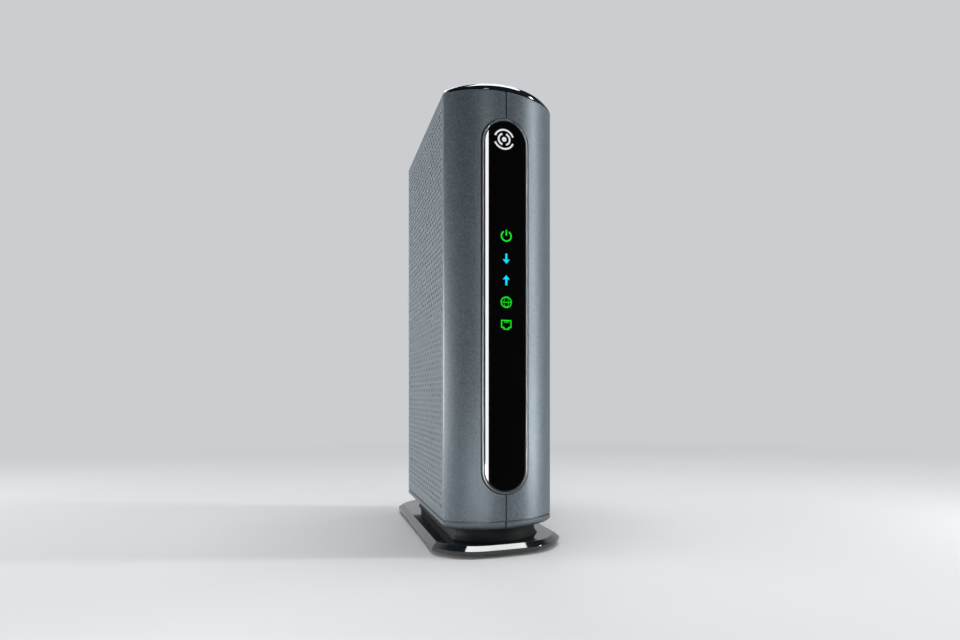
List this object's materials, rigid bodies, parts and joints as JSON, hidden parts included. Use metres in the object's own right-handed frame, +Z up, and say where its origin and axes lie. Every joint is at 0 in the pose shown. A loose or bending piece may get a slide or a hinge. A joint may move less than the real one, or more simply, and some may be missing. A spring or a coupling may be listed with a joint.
{
  "type": "cable modem",
  "caption": "Slim upright cable modem with bowed front, dark light window, perforated sides, crowned cap, rear sockets and buttons, standing on a wider bevelled foot plate.",
  "frame": {"origin": "centre of the footprint, on the floor under the feet", "axes": "+Z up, front window faces -Y, width along X"},
  "size_m": [0.057, 0.1508, 0.1999],
  "materials": {
    "metallic_grey_paint": "fine metallic grey-blue paint",
    "grille_grey_paint": "fine metallic grey-blue paint",
    "gloss_black": "polished black",
    "lens_black": "polished dark tinted window",
    "trim_silver": "silver coated",
    "light_guide_clear": "clear moulded",
    "led_green": "lit green",
    "led_cyan": "lit cyan",
    "led_amber": "amber, unlit",
    "board_green": "solder mask",
    "chip_black": "moulded",
    "thermal_pad": "soft pad",
    "bare_aluminium": "extruded",
    "screw_steel": "zinc plated",
    "tinned_can": "tinned",
    "nickel_plate": "nickel plated brass",
    "gold_contact": "gold flashed",
    "matte_black": "moulded, fine texture",
    "panel_dark_grey": "moulded, fine texture",
    "dielectric_ivory": "turned",
    "foot_rubber": "matte",
    "reset_red": "moulded",
    "winding_copper": "wound copper"
  },
  "bodies": {
    "modem": {"shell_left": "metallic_grey_paint", "shell_right": "metallic_grey_paint", "side_panel_left": "grille_grey_paint", "side_panel_right": "grille_grey_paint", "top_cap": "gloss_black", "stand_plate": "gloss_black", "front_window": "lens_black", "window_trim": "trim_silver", "light_guide": "light_guide_clear", "led_power": "led_green", "led_online": "led_green", "led_link": "led_green", "link_light_a": "led_green", "led_downstream": "led_cyan", "led_upstream": "led_cyan", "link_light_b": "led_amber", "circuit_board": "board_green", "processor_chip": "chip_black", "memory_chip_a": "chip_black", "memory_chip_b": "chip_black", "power_switch": "chip_black", "reset_switch": "chip_black", "thermal_pad": "thermal_pad", "heatsink": "bare_aluminium", "board_screw_front_low": "screw_steel", "board_screw_rear_low": "screw_steel", "board_screw_front_high": "screw_steel", "board_screw_rear_high": "screw_steel", "coax_washer": "screw_steel", "stand_screw_front_left": "screw_steel", "stand_screw_rear_left": "screw_steel", "stand_screw_front_right": "screw_steel", "stand_screw_rear_right": "screw_steel", "tuner_shield": "tinned_can", "coax_connector": "nickel_plate", "coax_nut": "nickel_plate", "power_jack_pin": "nickel_plate", "ethernet_contacts": "gold_contact", "ethernet_jack": "matte_black", "power_jack": "matte_black", "stand_neck": "matte_black", "capacitor_a": "matte_black", "capacitor_b": "matte_black", "rear_panel": "panel_dark_grey", "coax_dielectric": "dielectric_ivory", "foot_front_left": "foot_rubber", "foot_rear_left": "foot_rubber", "foot_front_right": "foot_rubber", "foot_rear_right": "foot_rubber", "power_inductor": "winding_copper"},
    "power_button": {"power_button": "matte_black"},
    "reset_button": {"reset_button": "reset_red"}
  },
  "joints": [
    {"name": "power_press", "type": "slide", "parent": "modem", "child": "power_button", "axis": [0, -1, 0], "range_m": [0, 0.0025], "stiffness_N_per_m": 400},
    {"name": "reset_press", "type": "slide", "parent": "modem", "child": "reset_button", "axis": [0, -1, 0], "range_m": [0, 0.001], "stiffness_N_per_m": 400}
  ]
}
